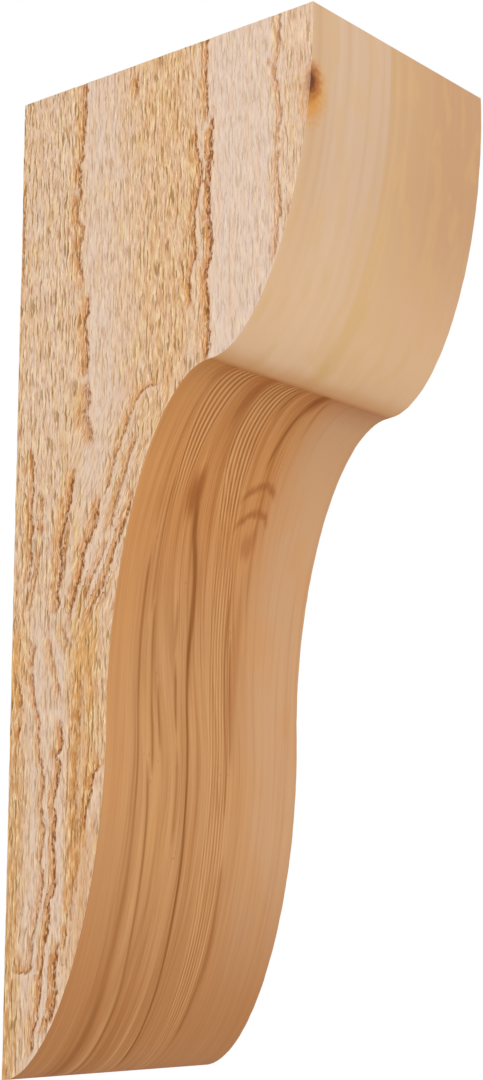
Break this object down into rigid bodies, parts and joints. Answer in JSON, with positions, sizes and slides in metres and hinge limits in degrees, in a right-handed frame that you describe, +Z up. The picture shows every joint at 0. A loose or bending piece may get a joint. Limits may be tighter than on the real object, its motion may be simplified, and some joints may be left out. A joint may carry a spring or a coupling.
{
  "type": "wooden corbel bracket",
  "caption": "Solid timber corbel bracket with rough sawn cheeks and a smooth front cut to a convex head, a deep cove and a convex foot.",
  "frame": {"origin": "middle of the flat back face that bears on the wall", "axes": "+Z up along the wall, +Y out of the back face into the wall, -Y towards the front, +X across the width"},
  "size_m": [0.15, 0.1985, 0.508],
  "materials": {
    "cedar": "unfinished cedar, rough sawn on the cheeks and sanded smooth on the curved front"
  },
  "bodies": {
    "root": {"corbel_block": "cedar"}
  },
  "joints": []
}
